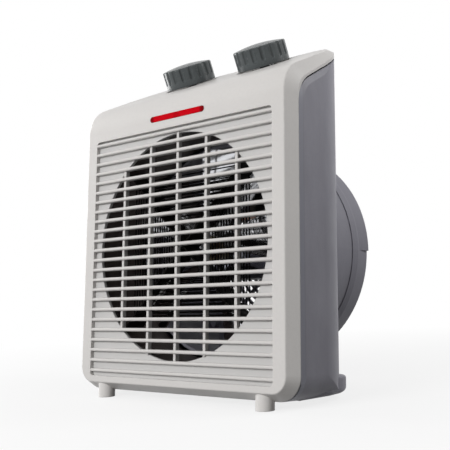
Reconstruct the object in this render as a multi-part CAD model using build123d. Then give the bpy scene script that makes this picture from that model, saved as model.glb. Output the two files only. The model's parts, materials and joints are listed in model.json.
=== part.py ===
from build123d import *
import math
import os

# Fan heater: front cover with slatted outlet, grey rear housing with a drum, wire element, fan, controls.
# Sizes are in millimetres. It is drawn upright, with its front face on y = 0 and its underside on z = 0.
# At the end it is leaned back until its front feet and the rear base both meet the floor.

# Outlet and the slatted recess round it, which set the size of the front
OUTLET_R = 86.6
OUTLET_SIDE = 6.2
OUTLET_ABOVE = 5.0
OUTLET_BELOW = 13.1
RECESS_W = 2 * (OUTLET_R + OUTLET_SIDE)
RECESS_H = 2 * OUTLET_R + OUTLET_ABOVE + OUTLET_BELOW
RECESS_Z = 10.4
RECESS_TOP = RECESS_Z + RECESS_H
AXIS_Z = RECESS_Z + OUTLET_BELOW + OUTLET_R
RECESS_CORNER_R = 3.0
RECESS_DEPTH = 3.2
PLATE_T = 2.5
PLATE_BACK = RECESS_DEPTH + PLATE_T
TRAY_WALL = 2.0
SLAT_COUNT = 24
SLAT_DROP = 2.9
SLAT_RISE = 4.4
SLAT_PITCH = (RECESS_H - SLAT_DROP - SLAT_RISE) / (SLAT_COUNT - 1)
SLAT_H = 2.7
SLAT_NOSE_R = 1.2
SLAT_BACK_STEP = 1.0
BAR_COUNT = 5
BAR_PITCH = 29.5
BAR_W = 2.4
BAR_RISE = 1.2
BAR_SINK = 0.4

# Body shape
SIDE_MARGIN = 16.15
BODY_WIDTH = RECESS_W + 2 * SIDE_MARGIN
BODY_REAR = 87.0
REAR_CORNER_R = 46.0
BASE_CORNER_R = 17.5
TOP_SLOPE = 26.3
TOP_MARGIN = 25.2
TOP_AT_FRONT = RECESS_TOP + TOP_MARGIN
TOP_BEND_R = 26.5
FACE_FLARE = 5.6
BAND_DEPTH = 9.7
BEVEL_FROM = 20.0
BEVEL_END_DROP = 2.4
EDGE_R = 1.2
WALL = 2.5

# Line where the front cover meets the rear housing
PART_SLOPE = 31.0
PART_DROP = 9.3
PART_AT_FRONT = TOP_AT_FRONT - PART_DROP
PART_BEND_R = 25.0
SEAM_GAP = 1.2
LIP_WIDTH = 4.6
LIP_DEPTH = 1.2
TONGUE_REACH = 3.0
TONGUE_WALL = 1.4
TONGUE_GAP = 0.3
TONGUE_FROM_Z = 34.0

# Indicator
LENS_W = 57.5
LENS_H = 4.5
LENS_OVER = 9.0
LENS_Z = RECESS_TOP + LENS_OVER
LENS_PROUD = 0.3
LENS_FLANGE = 2.0
LENS_FLANGE_T = 1.5
LENS_SEAT = 0.6
LAMP_R = 2.5
LAMP_LENGTH = 18.0
LAMP_GAP = 0.2
HOLDER_WALL = 1.2

# Knobs and controls, measured along and across the sloping top
KNOB_X = 39.8
KNOB_FROM_REAR = 28.3
KNOB_Y = BODY_REAR - KNOB_FROM_REAR
KNOB_R = 21.3
KNOB_H = 15.6
KNOB_DOME = 2.4
KNOB_GAP = 0.8
KNOB_EDGE_R = 1.4
KNOB_WALL = 2.6
KNOB_ROOF = 4.0
KNOB_BOSS_R = 6.5
FLUTE_COUNT = 18
FLUTE_R = 2.2
FLUTE_DEPTH = 1.2
FLUTE_FOOT = 5.8
KNOB_TURN = {-1: -3.0, 1: 10.0}
DISH_RIM = 1.7
DISH_R = KNOB_R + DISH_RIM
DISH_DEPTH = 1.2
SHAFT_R = 4.0
SHAFT_TIP_R = 3.0
SHAFT_TIP_L = 11.0
SHAFT_FLAT = 1.0
SHAFT_HOLE_CLEAR = 0.5
CONTROL_POST_L = 6.0
CONTROL_POST_R = 3.6
CONTROL_W = 30.0
CONTROL_POST_X = CONTROL_W / 2 + 5.0
CONTROL_EAR_T = 2.5
CONTROL_FRONT = 13.0
CONTROL_BACK = 7.0
CONTROL_DEPTH = 14.0
CONTROL_TAB_L = 5.0
CONTROL_TAB_W = 4.8
STRIP_T = 0.8
STRIP_W = 7.0
STRIP_GAP = 1.2

# Rear housing
HOUSING_WALL = 2.4
DRUM_STEP = 1.0
DRUM_R = OUTLET_R - DRUM_STEP
DRUM_WALL = 2.5
DRUM_IN = DRUM_R - DRUM_WALL
BASE_INSET = 4.05
BASE_X = BODY_WIDTH / 2 - BASE_INSET
BASE_TAPER = 5.5
BASE_FROM = 26.0
BASE_WIDE_Y = 52.0
BASE_OVERHANG = 2.5
BASE_REAR = BODY_REAR + BASE_OVERHANG
BASE_H = 15.6
BASE_R = 28.0
BASE_EDGE_R = 2.0
BASE_FOOT_R = 4.0
COVER_POST_R = 4.2
COVER_POST_END = 14.0
WELL_OUT = 5.0
WELL_X = RECESS_W / 2 + WELL_OUT
WELL_BELOW = 64.3
WELL_ABOVE = 73.4
WELL_R = 4.5
WELL_WALL = 1.8
WELL_DEPTH = 6.0
WELL_FLOOR = COVER_POST_END + WELL_DEPTH

# Feet and floor
FOOT_INSET = 28.45
FOOT_X = BODY_WIDTH / 2 - FOOT_INSET
FOOT_Y = 7.6
FOOT_R = 6.6
FOOT_DROP = 5.8
FOOT_PIN_R = 1.7
FOOT_PIN_L = 6.0
FOOT_BOSS_R = 4.0
FOOT_PIN_Y = BAND_DEPTH - FOOT_BOSS_R
LEAN = 4.4371
BASE_CLEAR = 4.4
REST_X = 55.0
REST_Y = 78.0
REST_R = 6.0

# Duct and element
DUCT_STEP = 0.8
DUCT_R = OUTLET_R + DUCT_STEP
DUCT_T = 0.8
DUCT_GAP = 0.3
DUCT_FROM = PLATE_BACK + DUCT_GAP
DUCT_L = 44.0
DUCT_TO = DUCT_FROM + DUCT_L
DRUM_FROM = DUCT_TO + 2.0
TAB_COUNT = 4
TAB_OUT = 7.1
TAB_R = DUCT_R + TAB_OUT
TAB_ANGLE = 20.0
TAB_W = 12.0
TAB_T = 1.0
BOARD_T = 1.0
BOARD_BACK = 3.0
BOARD_FROM = DUCT_FROM + BOARD_BACK
BOARD_H = 18.0
BOARD_TO = BOARD_FROM + BOARD_H
BOARD_MID = (BOARD_FROM + BOARD_TO) / 2
BOARD_GAP = 0.4
BOARD_TAB = 6.0
BOARD_SLOT_CLEAR = 0.2
BOARD_TAB_OUT = 2.5
BOARD_ANGLE = 45.0
WIRE_D = 1.0
WIRE_MARGIN = 10.4
WIRE_R_OUT = DUCT_R - WIRE_MARGIN
WIRE_LOOPS = 11
WIRE_PITCH = 4.0
WIRE_BEND_R = 3.0
WIRE_SINK = 1.2
NOTCH_CLEAR = 0.3
TERMINAL_L = 6.0
TERMINAL_T = 0.6
CUTOUT_IN = 21.0
CUTOUT_AT = WIRE_R_OUT - CUTOUT_IN
CUTOUT_R = 6.5
CUTOUT_H = 5.0
FUSE_IN = 31.0
FUSE_AT = WIRE_R_OUT - FUSE_IN
FUSE_R = 2.0
FUSE_L = 11.0

# Fan
FAN_GAP = 5.1
FAN_R = DRUM_IN - FAN_GAP
FAN_BLADES = 5
FAN_SHEET = 1.2
FAN_PLATE_R = 21.0
FAN_BEHIND_BOARD = 17.0
FAN_PLATE_Y = BOARD_TO + FAN_BEHIND_BOARD
BLADE_ROOT_R = 15.0
BLADE_ROOT_CHORD = 24.0
BLADE_TIP_CHORD = 62.0
BLADE_ROOT_PITCH = 40.0
BLADE_TIP_PITCH = 22.0
BLADE_CAMBER = 0.09
HUB_R = 7.0
HUB_FLANGE_R = 10.0
HUB_FLANGE_T = 2.0
HUB_FRONT_L = 13.0
HUB_REAR_L = 8.0
HUB_FROM = FAN_PLATE_Y - HUB_FRONT_L
HUB_TO = FAN_PLATE_Y + HUB_REAR_L
CLIP_R = 5.5
CLIP_T = 0.9

# Motor, from the cross bar back
AXLE_R = 2.5
AXLE_AHEAD = 2.0
AXLE_BEHIND = 3.0
AXLE_FROM = HUB_FROM - AXLE_AHEAD
PRESS_GAP = 0.02
RUN_GAP = 0.04
MOUNT_BEHIND_HUB = 10.0
MOUNT_Y = HUB_TO + MOUNT_BEHIND_HUB
MOUNT_T = 2.0
MOUNT_W = 26.0
MOUNT_END_GAP = 2.6
MOUNT_HALF = DRUM_IN - MOUNT_END_GAP
MOUNT_SCREW_IN = 5.0
MOUNT_SCREW_X = MOUNT_HALF - MOUNT_SCREW_IN
MOUNT_BLOCK_L = 20.0
MOUNT_BLOCK_W = 12.0
BRACKET_T = 3.0
BRACKET_W = 16.0
BRACKET_LEG = 7.0
BRACKET_LEG_R = 5.0
BRACKET_BOSS_R = 8.0
BUSH_R = 5.5
BUSH_L = 7.0
STATOR_T = 20.0
STATOR_W = 60.0
STATOR_LOW = 22.0
STATOR_HIGH = 50.0
STATOR_WINDOW_W = 38.0
STATOR_WINDOW_LOW = 18.0
STATOR_LIMB = 12.0
ROTOR_R = 11.0
AIR_GAP = 0.4
ROTOR_RING_R = 9.5
ROTOR_RING_L = 2.0
MOTOR_SCREW_R = 2.0
MOTOR_SCREW_X = 23.0
BOBBIN_L = 35.0
BOBBIN_WALL = 1.2
BOBBIN_CLEAR = 0.2
BOBBIN_FLANGE = 1.5
WINDING_T = 7.0
FRONT_BRACKET_Y = MOUNT_Y + MOUNT_T
STATOR_Y = FRONT_BRACKET_Y + BRACKET_T + BRACKET_LEG
STATOR_END = STATOR_Y + STATOR_T
REAR_BRACKET_END = STATOR_END + BRACKET_LEG + BRACKET_T
AXLE_TO = REAR_BRACKET_END + AXLE_BEHIND
LIMB_LOW = AXIS_Z + STATOR_HIGH - STATOR_LIMB
LIMB_HIGH = AXIS_Z + STATOR_HIGH

# Intake grille on the drum
DRUM_PAST_MOTOR = 23.0
DRUM_TO = REAR_BRACKET_END + DRUM_PAST_MOTOR
GRILLE_FIT = 0.2
GRILLE_SKIRT_T = 1.4
GRILLE_R = DRUM_R + GRILLE_FIT + GRILLE_SKIRT_T
GRILLE_L = 19.0
GRILLE_PAST_DRUM = 4.0
GRILLE_TO = DRUM_TO + GRILLE_PAST_DRUM
GRILLE_FROM = GRILLE_TO - GRILLE_L
GRILLE_T = 2.2
GRILLE_LIP = 1.6
GRILLE_LIP_W = 16.0
GRILLE_EDGE_T = 0.4
GRILLE_NOSE_L = 6.0
GRILLE_HUB_R = 22.0
GRILLE_SLOT = 3.6
GRILLE_RING = 2.2
GRILLE_SPOKES = 8
GRILLE_SPOKE_W = 3.0
GRILLE_POST_SIZE = 4.0
GRILLE_POST_SINK = 0.9
GRILLE_POST_R = DRUM_IN - GRILLE_POST_SIZE + GRILLE_POST_SINK
GRILLE_POST_L = 20.0
GRILLE_POST_COUNT = 4

# Fasteners and wiring
SCREW_R = 1.5
SCREW_HEAD_R = 3.0
SCREW_HEAD_H = 2.2
SCREW_BITE = 9.0
SCREW_TIP_GAP = 1.0
SCREW_CLEAR = 0.1
SCREW_THROUGH = 0.3
PILOT_R = SCREW_R + SCREW_CLEAR / 2
GLAND_X = -50.0
GLAND_Z = 28.0
GLAND_R = 6.0
GLAND_BORE_R = 3.6
GLAND_FLANGE_R = 8.5
GLAND_FLANGE_T = 2.5
GLAND_NUT_T = 4.0
GLAND_NUT_R = 9.5
GLAND_TAIL = 2.0
BLOCK_INSET = 38.95
BLOCK_X = BLOCK_INSET - BODY_WIDTH / 2
BLOCK_Y = 34.0
BLOCK_L = 30.0
BLOCK_W = 16.0
BLOCK_H = 12.0
LEAD_R = 1.1
LEAD_BEND_R = 7.0
LEAD_CLEAR = 0.1

FAR = 400.0
SLOPE_SIN = math.sin(math.radians(TOP_SLOPE))
SLOPE_COS = math.cos(math.radians(TOP_SLOPE))
SLOPE_TAN = math.tan(math.radians(TOP_SLOPE))
BOTTOM_ALIGN = (Align.CENTER, Align.CENTER, Align.MIN)


def top_height(y):
    """Height of the sloping top over a place y behind the front."""
    return TOP_AT_FRONT + y * SLOPE_TAN


def rod(radius, y0, y1, x=0.0, z=AXIS_Z):
    """Round bar that runs front to back."""
    return Pos(x, y0, z) * Rot(-90, 0, 0) * Cylinder(radius, y1 - y0, align=BOTTOM_ALIGN)


def taper(radius0, radius1, y0, y1):
    """Round bar on the fan axis that widens towards the rear."""
    return Pos(0, y0, AXIS_Z) * Rot(-90, 0, 0) * Cone(radius0, radius1, y1 - y0, align=BOTTOM_ALIGN)


def tube(outer, inner, y0, y1, x=0.0, z=AXIS_Z):
    """Round tube that runs front to back."""
    return rod(outer, y0, y1, x, z) - rod(inner, y0 - 1, y1 + 1, x, z)


def block(x0, x1, y0, y1, z0, z1):
    """Box given by its limits."""
    middle = Pos((x0 + x1) / 2, (y0 + y1) / 2, (z0 + z1) / 2)
    return middle * Box(x1 - x0, y1 - y0, z1 - z0)


def around(count, start=0.0):
    """Angles of a ring of equal features."""
    return [start + 360.0 * step / count for step in range(count)]


def on_ring(radius, angle):
    """Place (x, z) on a ring about the fan axis."""
    turn = math.radians(angle)
    return radius * math.cos(turn), AXIS_Z + radius * math.sin(turn)


def plan_prism(half, rear, radius, front):
    """Body seen from above, from one place behind the front to the rear, made as tall as need be."""
    plan = make_face(Polyline((-half, front), (half, front), (half, rear), (-half, rear), close=True))
    corners = [v for v in plan.vertices() if v.Y > rear - 1e-6]
    return extrude(Plane.XY * fillet(corners, radius), amount=FAR)


def sloping_plane(y0, z0, y1, z1):
    """Plane as wide as the body through two places of the side view."""
    return Plane(origin=(0, y0, z0), x_dir=(1, 0, 0), z_dir=(0, z0 - z1, y1 - y0))


def body_form(inset):
    """Whole outer shape, moved inwards by an inset on every side, with the bevel round its front and top."""
    half = BODY_WIDTH / 2 - inset
    rear = BODY_REAR - inset
    drop = inset / SLOPE_COS
    side = make_face(
        Polyline(
            (inset, inset),
            (rear, inset),
            (rear, top_height(rear) - drop),
            (inset, top_height(inset) - drop),
            close=True,
        )
    )
    bend = [v for v in side.vertices() if abs(v.X - inset) < 1e-6 and v.Y > TOP_AT_FRONT / 2]
    prism = extrude(Plane.YZ * fillet(bend, TOP_BEND_R - inset), amount=half, both=True)

    front = make_face(Polyline((-half, inset), (half, inset), (half, FAR), (-half, FAR), close=True))
    corners = [v for v in front.vertices() if v.Y < FAR / 2]
    front_prism = extrude(Plane.XZ * fillet(corners, BASE_CORNER_R - inset), amount=-FAR)

    form = prism & front_prism & plan_prism(half, rear, REAR_CORNER_R - inset, -WALL)
    face = form.faces().sort_by(Axis.Y)[0]
    edge = face.edges().filter_by(Axis.Z).sort_by(Axis.X)[-1]
    front_part = chamfer(edge, FACE_FLARE, BAND_DEPTH, reference=face)
    front_part = front_part & block(-FAR, FAR, -FAR, BEVEL_FROM, -FAR, FAR)

    start = top_height(BEVEL_FROM) - drop
    end = top_height(BODY_REAR) - drop
    top = sloping_plane(BEVEL_FROM, start, BODY_REAR, end)
    low = sloping_plane(BEVEL_FROM, start - BAND_DEPTH / SLOPE_COS, BODY_REAR, end - BEVEL_END_DROP)
    under = low * Box(2 * FAR, 2 * FAR, FAR, align=(Align.CENTER, Align.CENTER, Align.MAX))
    rear_part = form & block(-FAR, FAR, BEVEL_FROM, FAR, -FAR, FAR) & under
    wide = section(plan_prism(half, rear, REAR_CORNER_R - inset, BEVEL_FROM), section_by=low)
    flare = FACE_FLARE
    narrow = plan_prism(half - flare, rear - flare, REAR_CORNER_R - inset - flare, BEVEL_FROM)
    roof = loft([wide.face(), section(narrow, section_by=top).face()], ruled=True)
    return front_part + rear_part + roof


def soften_front(form):
    """Rounds the outer edge of the front and top face."""
    face = form.faces().filter_by(GeomType.PLANE).sort_by(Axis.Y)[0]
    edge = face.edges().filter_by(Axis.Z).sort_by(Axis.X)[-1]
    return fillet(edge, EDGE_R)


def parting_face(offset):
    """Side view of all that lies behind the parting line, with the line moved back by an offset."""
    tan = math.tan(math.radians(PART_SLOPE))
    cos = math.cos(math.radians(PART_SLOPE))
    y0 = BAND_DEPTH + offset
    z0 = PART_AT_FRONT + offset * tan - offset / cos
    outline = make_face(
        Polyline((y0, -FAR), (y0, z0), (FAR, z0 + (FAR - y0) * tan), (FAR, -FAR), close=True)
    )
    corner = [v for v in outline.vertices() if abs(v.X - y0) < 1e-6 and v.Y > 0]
    return fillet(corner, PART_BEND_R - offset)


def behind_parting(offset):
    """Space behind the parting line, with the line moved back by an offset."""
    return extrude(Plane.YZ * parting_face(offset), amount=BODY_WIDTH, both=True)


def behind_lip():
    """Space behind the seam, flared outwards at both sides to bevel the front edge of the housing."""
    over = LIP_DEPTH / 2
    near = parting_face(SEAM_GAP)
    wide = parting_face(SEAM_GAP + LIP_WIDTH * (1 + over / LIP_DEPTH))
    half = BODY_WIDTH / 2
    ends = ((-half - over, wide), (LIP_DEPTH - half, near), (half - LIP_DEPTH, near), (half + over, wide))
    return loft([Plane.YZ.offset(x) * face for x, face in ends], ruled=True)


def control_plane(side):
    """Place of a knob: on the sloping top, with its third axis square to it."""
    origin = (side * KNOB_X, KNOB_Y, top_height(KNOB_Y))
    return Plane(origin=origin, x_dir=(1, 0, 0), z_dir=(0, -SLOPE_SIN, SLOPE_COS))


def upright(radius, w0, w1, x=0.0):
    """Round bar along a knob's axis, between two heights over the top."""
    return Pos(x, 0, w0) * Cylinder(radius, w1 - w0, align=BOTTOM_ALIGN)


def screw(length, radius=SCREW_R, head_r=SCREW_HEAD_R):
    """Cross head screw, seated on its own third axis at zero."""
    body = Cylinder(radius, length, align=(Align.CENTER, Align.CENTER, Align.MAX))
    head = Cylinder(head_r, SCREW_HEAD_H, align=BOTTOM_ALIGN)
    rim = head.edges().filter_by(GeomType.CIRCLE).sort_by(Axis.Z)[-1]
    head = fillet(rim, SCREW_HEAD_H * 0.4)
    slot = Box(head_r * 1.1, head_r * 0.25, SCREW_HEAD_H)
    cross = Pos(0, 0, SCREW_HEAD_H) * (slot + Rot(0, 0, 90) * slot)
    return body + head - cross


def screw_from_rear(x, y, z, length):
    return Pos(x, y, z) * Rot(-90, 0, 0) * screw(length)


def screw_from_front(x, y, z, length):
    return Pos(x, y, z) * Rot(90, 0, 0) * screw(length)


def well_places():
    return [(side * WELL_X, z) for side in (-1, 1) for z in (AXIS_Z - WELL_BELOW, AXIS_Z + WELL_ABOVE)]


def tab_places():
    return [on_ring(TAB_R, angle) for angle in around(TAB_COUNT, TAB_ANGLE)]


def grille_places():
    return [on_ring(GRILLE_POST_R, angle) for angle in around(GRILLE_POST_COUNT, BOARD_ANGLE)]


# Front cover
BAR_FRONT = RECESS_DEPTH - BAR_RISE
POST_TOP = -DISH_DEPTH - WALL
EAR_TOP = POST_TOP - CONTROL_POST_L


def slats():
    depth = PLATE_BACK - SLAT_BACK_STEP
    profile = make_face(Polyline((0, 0), (depth, 0), (depth, SLAT_H), (0, SLAT_H), close=True))
    nose = [v for v in profile.vertices() if v.X < RECESS_DEPTH / 2]
    slat = extrude(Plane.YZ * fillet(nose, SLAT_NOSE_R), amount=RECESS_W / 2 + TRAY_WALL / 2, both=True)
    first = RECESS_TOP - SLAT_DROP - SLAT_H / 2
    return [Pos(0, 0, first - step * SLAT_PITCH) * slat for step in range(SLAT_COUNT)]


def bars():
    first = -BAR_PITCH * (BAR_COUNT - 1) / 2
    result = []
    for step in range(BAR_COUNT):
        x = first + step * BAR_PITCH
        reach = OUTLET_R + BAR_W
        bar = block(x - BAR_W / 2, x + BAR_W / 2, BAR_FRONT, PLATE_BACK, AXIS_Z - reach, AXIS_Z + reach)
        result.append(bar & rod(OUTLET_R + BAR_SINK, 0, FAR))
    return result


def recess_pocket():
    half = RECESS_W / 2
    low, high = RECESS_Z, RECESS_TOP
    outline = make_face(Polyline((-half, low), (half, low), (half, high), (-half, high), close=True))
    outline = fillet(outline.vertices(), RECESS_CORNER_R)
    return extrude(Plane.XZ * outline, amount=-RECESS_DEPTH)


def lens_prism(grow, y0, y1):
    """Long rounded bar of the lens outline, grown on every side."""
    shape = SlotOverall(LENS_W + 2 * grow, LENS_H + 2 * grow)
    place = Plane(origin=(0, y0, LENS_Z), x_dir=(1, 0, 0), z_dir=(0, 1, 0))
    return extrude(place * shape, amount=y1 - y0)


def front_cover():
    shell = soften_front(body_form(0)) - body_form(WALL)
    shell -= behind_parting(0)
    half = RECESS_W / 2 + TRAY_WALL
    tray = block(-half, half, WALL / 2, PLATE_BACK, RECESS_Z - TRAY_WALL, RECESS_TOP + TRAY_WALL)
    cover = shell + tray - recess_pocket() - rod(OUTLET_R, 0, FAR)
    cover += slats() + bars()

    posts = []
    holes = []
    for x, z in well_places() + tab_places():
        posts.append(rod(COVER_POST_R, RECESS_DEPTH + PLATE_T / 2, COVER_POST_END, x, z))
        holes.append(rod(PILOT_R, COVER_POST_END - SCREW_BITE, COVER_POST_END + 1, x, z))
    cover = cover + posts - holes

    for side in (-1, 1):
        pin = Pos(side * FOOT_X, FOOT_PIN_Y, 0)
        boss = pin * Cylinder(FOOT_BOSS_R, RECESS_Z - TRAY_WALL / 2, align=BOTTOM_ALIGN)
        cover += (boss & body_form(WALL / 2)) - behind_parting(0)
        cover -= pin * Cylinder(FOOT_PIN_R + SCREW_CLEAR, FOOT_PIN_L + SCREW_CLEAR, align=BOTTOM_ALIGN)

        place = control_plane(side)
        pad = upright(DISH_R + WALL, POST_TOP, -WALL / 2)
        cover += ((place * pad) & body_form(WALL / 2)) - behind_parting(0)
        for x in (-CONTROL_POST_X, CONTROL_POST_X):
            cover += place * upright(CONTROL_POST_R, EAR_TOP, POST_TOP + WALL / 2, x)
            cover -= place * upright(PILOT_R, EAR_TOP - 1, POST_TOP + WALL / 2, x)
        cover -= place * upright(DISH_R, -DISH_DEPTH, KNOB_H)
        cover -= place * upright(SHAFT_R + SHAFT_HOLE_CLEAR, POST_TOP - 1, 1)
    return cover - lens_prism(SCREW_CLEAR, -1, 2 * WALL)


# Rear housing
def under_floor(raised=0.0):
    """Space under the floor, or under a height over it, with the heater still upright."""
    deep = Box(FAR, 2 * FAR, FAR, align=(Align.CENTER, Align.CENTER, Align.MAX))
    return Pos(0, FOOT_Y, -FOOT_DROP) * Rot(LEAN, 0, 0) * Pos(0, 0, raised) * deep


def rear_base():
    near = BASE_X - BASE_TAPER
    side = [(near, BASE_FROM), (BASE_X, BASE_WIDE_Y), (BASE_X, BASE_REAR)]
    other = [(-x, y) for x, y in reversed(side)]
    plan = make_face(Polyline(*side, *other, close=True))
    corners = [v for v in plan.vertices() if v.Y > BASE_REAR - 1]
    solid = Pos(0, 0, -BASE_H) * extrude(Plane.XY * fillet(corners, BASE_R), amount=2 * BASE_H)
    solid -= under_floor(BASE_CLEAR)
    for place, radius in ((-1, BASE_EDGE_R), (0, BASE_FOOT_R)):
        rims = solid.faces().sort_by(Axis.Z)[place].edges()
        solid = fillet([e for e in rims if e.center().Y > BASE_FROM + 1], radius)
    return solid


def rear_housing():
    outer = body_form(0) & behind_lip()
    solid = outer + rear_base() - under_floor(BASE_CLEAR)
    shell = solid - (body_form(HOUSING_WALL) - under_floor(BASE_CLEAR + HOUSING_WALL))
    for side in (-1, 1):
        rest = Pos(side * REST_X, REST_Y, -FOOT_DROP) * Cylinder(REST_R, 2 * FOOT_DROP, align=BOTTOM_ALIGN)
        shell += (rest - under_floor()) & under_floor(BASE_CLEAR + HOUSING_WALL / 2)

    tongue = body_form(WALL + TONGUE_GAP) & behind_parting(-TONGUE_REACH)
    tongue += body_form((LIP_DEPTH + HOUSING_WALL) / 2) & behind_parting(SEAM_GAP)
    tongue = tongue - body_form(WALL + TONGUE_GAP + TONGUE_WALL) - behind_parting(SEAM_GAP + LIP_WIDTH)
    above = block(-BODY_WIDTH, BODY_WIDTH, 0, BAND_DEPTH * 4, TONGUE_FROM_Z, PART_AT_FRONT - PART_BEND_R)
    tongue = tongue & above
    for x, z in well_places():
        tongue = tongue - rod(COVER_POST_R + TONGUE_GAP, 0, COVER_POST_END, x, z)
    shell += tongue

    shell = shell - rod(DRUM_R - DRUM_WALL / 2, BODY_REAR / 2, FAR)
    shell += tube(DRUM_R, DRUM_IN, DRUM_FROM, DRUM_TO)

    inside = body_form(HOUSING_WALL / 2)
    posts = []
    holes = []
    for x, z in well_places():
        posts.append(rod(WELL_R + WELL_WALL, COVER_POST_END, FAR, x, z) & inside)
        holes.append(rod(WELL_R, WELL_FLOOR, FAR, x, z))
        holes.append(rod(SCREW_R + SCREW_THROUGH, 0, FAR, x, z))
    for side in (-1, 1):
        seat = MOUNT_Y + MOUNT_T
        ends = sorted((side * (MOUNT_SCREW_X - MOUNT_BLOCK_W / 2), side * DRUM_R))
        half = MOUNT_BLOCK_W / 2
        cheek = block(*ends, seat, seat + MOUNT_BLOCK_L, AXIS_Z - half, AXIS_Z + half)
        posts.append(cheek & rod(DRUM_R - DRUM_WALL / 2, 0, FAR))
        holes.append(rod(PILOT_R, seat - 1, seat + SCREW_BITE + SCREW_TIP_GAP, side * MOUNT_SCREW_X))
    for x, z in grille_places():
        post = rod(GRILLE_POST_SIZE, DRUM_TO - GRILLE_POST_L, DRUM_TO, x, z)
        posts.append(post & rod(DRUM_R - DRUM_WALL / 2, 0, FAR))
        holes.append(rod(PILOT_R, DRUM_TO - SCREW_BITE - SCREW_TIP_GAP, DRUM_TO + 1, x, z))
    holes.append(rod(GLAND_R + SCREW_CLEAR, BODY_REAR - 3 * HOUSING_WALL, FAR, GLAND_X, GLAND_Z))
    return shell + posts - holes


def rear_grille():
    inner = DRUM_R + GRILLE_FIT
    skirt = taper(inner + GRILLE_EDGE_T, GRILLE_R, GRILLE_FROM, GRILLE_FROM + GRILLE_NOSE_L)
    skirt = skirt + rod(GRILLE_R, GRILLE_FROM + GRILLE_NOSE_L, GRILLE_TO) - rod(inner, 0, FAR)
    lip = taper(GRILLE_R - GRILLE_SKIRT_T / 2, GRILLE_R + GRILLE_LIP, GRILLE_TO - GRILLE_LIP_W, GRILLE_TO)
    lip = (lip & block(-FAR, FAR, 0, FAR, AXIS_Z, FAR)) - rod(inner, 0, FAR)
    face = Circle(GRILLE_R)
    radius = GRILLE_HUB_R
    spoke = Rectangle(2 * GRILLE_R, GRILLE_SPOKE_W)
    spokes = [Rot(0, 0, angle / 2) * spoke for angle in around(GRILLE_SPOKES)]
    while radius + GRILLE_SLOT < DRUM_IN:
        gap = Circle(radius + GRILLE_SLOT) - Circle(radius)
        face -= gap - spokes
        radius += GRILLE_SLOT + GRILLE_RING
    plate = Plane(origin=(0, GRILLE_TO, AXIS_Z), x_dir=(1, 0, 0), z_dir=(0, -1, 0))
    grille = extrude(plate * face, amount=GRILLE_T)
    pads = []
    holes = []
    for x, z in grille_places():
        pads.append(rod(GRILLE_POST_SIZE + 1, DRUM_TO, GRILLE_TO, x, z) & rod(GRILLE_R, 0, FAR))
        holes.append(rod(SCREW_R + SCREW_THROUGH, 0, FAR, x, z))
        holes.append(rod(SCREW_HEAD_R + SCREW_THROUGH, GRILLE_TO - SCREW_HEAD_H, FAR, x, z))
    return grille + skirt + lip + pads - holes


# Feet, cut off flat on the floor
def front_foot(side):
    place = Pos(side * FOOT_X, FOOT_Y, 0)
    leg = place * Pos(0, 0, -2 * FOOT_DROP) * Cylinder(FOOT_R, 4 * FOOT_DROP, align=BOTTOM_ALIGN)
    leg -= body_form(0)
    leg = leg.solids().sort_by(Axis.Z)[0]
    pin = Cylinder(FOOT_PIN_R, FOOT_PIN_L + FOOT_DROP / 2, align=BOTTOM_ALIGN)
    pin = Pos(side * FOOT_X, FOOT_PIN_Y, -FOOT_DROP / 2) * pin
    return leg + pin - under_floor()


# Indicator
FLANGE_FROM = WALL + LENS_SEAT
HOLDER_FROM = FLANGE_FROM + LENS_FLANGE_T + LEAD_CLEAR
LAMP_Y = HOLDER_FROM + LAMP_R + LENS_SEAT


def indicator_lens():
    flange = lens_prism(LENS_FLANGE, FLANGE_FROM, FLANGE_FROM + LENS_FLANGE_T)
    return lens_prism(0, -LENS_PROUD, FLANGE_FROM + LENS_FLANGE_T / 2) + flange


def lamp_holder():
    half_w = LAMP_LENGTH / 2 + LENS_SEAT
    half_h = LAMP_R + LAMP_GAP
    back = LAMP_Y + LAMP_R + LAMP_GAP
    t = HOLDER_WALL
    outer = block(-half_w - t, half_w + t, HOLDER_FROM, back + t, LENS_Z - half_h - t, LENS_Z + half_h + t)
    return outer - block(-half_w, half_w, 0, back, LENS_Z - half_h, LENS_Z + half_h)


def neon_lamp():
    place = Pos(-LAMP_LENGTH / 2, LAMP_Y, LENS_Z) * Rot(0, 90, 0)
    glass = Cylinder(LAMP_R, LAMP_LENGTH - LAMP_R, align=BOTTOM_ALIGN)
    return place * (glass + Pos(0, 0, LAMP_LENGTH - LAMP_R) * Sphere(LAMP_R))


# Knobs, shafts and the controls under the sloping top
KNOB_TOP = KNOB_GAP + KNOB_H
SHAFT_STEP = KNOB_GAP - SHAFT_FLAT / 4
SHAFT_TIP = SHAFT_STEP + SHAFT_TIP_L
SHAFT_LOW = EAR_TOP - CONTROL_DEPTH * 2 / 3


def shaft_tip(grow):
    """D shaped end of a shaft, grown on every side."""
    tip = upright(SHAFT_TIP_R + grow, SHAFT_STEP, SHAFT_TIP + grow)
    flat = SHAFT_TIP_R - SHAFT_FLAT + grow
    return tip - block(flat, FAR, -FAR, FAR, -FAR, FAR)


def control_shaft(side):
    shaft = upright(SHAFT_R, SHAFT_LOW, SHAFT_STEP) + shaft_tip(0)
    return control_plane(side) * Rot(0, 0, KNOB_TURN[side]) * shaft


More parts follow.
